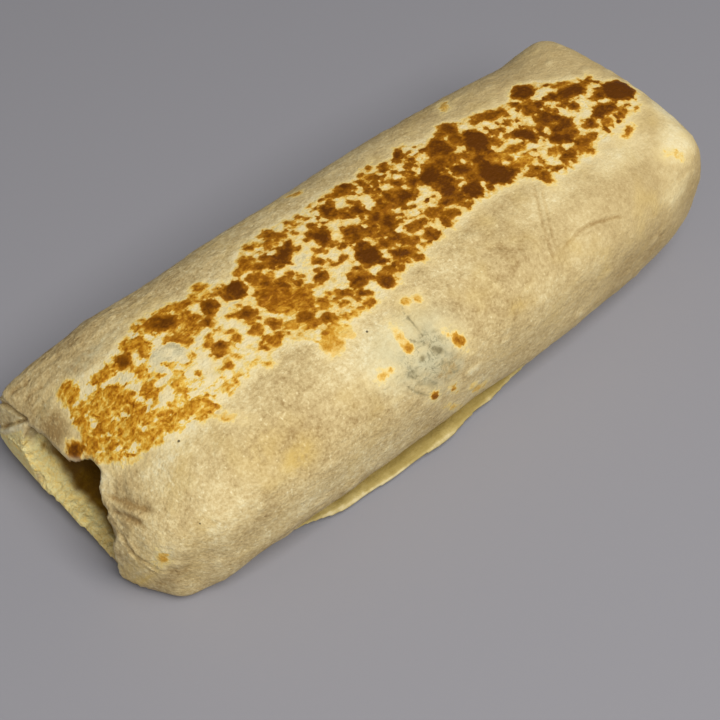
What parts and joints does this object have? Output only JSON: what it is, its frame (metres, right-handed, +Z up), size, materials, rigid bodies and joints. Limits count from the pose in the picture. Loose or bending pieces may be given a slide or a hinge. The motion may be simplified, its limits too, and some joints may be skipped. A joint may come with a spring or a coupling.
{
  "type": "burrito",
  "caption": "Whole rolled flour-tortilla wrap with tucked ends, an open fold at one end, a free edge along one side and a griddled top.",
  "frame": {"origin": "under the middle of the roll, on the resting plane", "axes": "+X along the roll from the open fold to the far fold, +Y across it away from the free edge, +Z up"},
  "size_m": [0.1986, 0.0792, 0.0465],
  "materials": {
    "tortilla": "pale cream flour tortilla, matt with a faint oily sheen, toasted brown in patches on top"
  },
  "bodies": {
    "root": {"tortilla_roll": "tortilla"}
  },
  "joints": []
}
